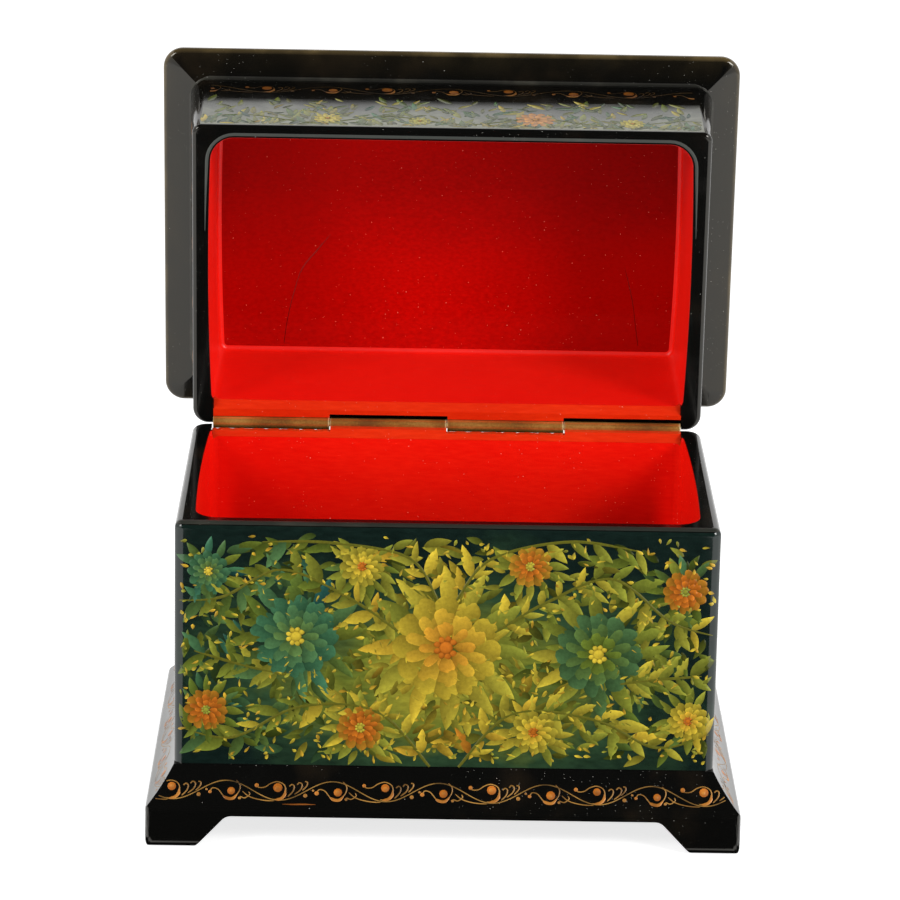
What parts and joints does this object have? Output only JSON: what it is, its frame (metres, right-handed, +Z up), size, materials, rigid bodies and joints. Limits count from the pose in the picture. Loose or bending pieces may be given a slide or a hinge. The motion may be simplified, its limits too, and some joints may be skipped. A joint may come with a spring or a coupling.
{
  "type": "lacquer casket",
  "caption": "Open lacquered papier-mache casket on a flared plinth with bracket feet; hinged lid with a wide cornice, red lacquer inside.",
  "frame": {"origin": "on the floor under the middle of the body's plinth", "axes": "+X to the right seen from the front, +Y to the back where the hinge is, +Z up"},
  "size_m": [0.1284, 0.1136, 0.1467],
  "materials": {
    "black_lacquer": "gloss",
    "red_lacquer": "gloss",
    "painted_lacquer": "gloss",
    "gold_ornament": "satin",
    "hinge_brass": "satin",
    "hinge_wire": "satin"
  },
  "bodies": {
    "casket": {"body_wall": "black_lacquer", "body_floor": "black_lacquer", "plinth_front": "black_lacquer", "plinth_back": "black_lacquer", "plinth_left": "black_lacquer", "plinth_right": "black_lacquer", "body_knuckle_left": "hinge_brass", "body_knuckle_right": "hinge_brass", "hinge_pin": "hinge_wire"},
    "lid": {"lid_wall": "black_lacquer", "cornice_front": "black_lacquer", "cornice_back": "black_lacquer", "cornice_left": "black_lacquer", "cornice_right": "black_lacquer", "lid_top": "black_lacquer", "lid_knuckle_left": "hinge_brass", "lid_knuckle_right": "hinge_brass"}
  },
  "joints": [
    {"name": "lid_hinge", "type": "hinge", "parent": "casket", "child": "lid", "pos_m": [0, 0.0336, 0.0697], "axis": [1, 0, 0], "range_deg": [0, 88]}
  ]
}
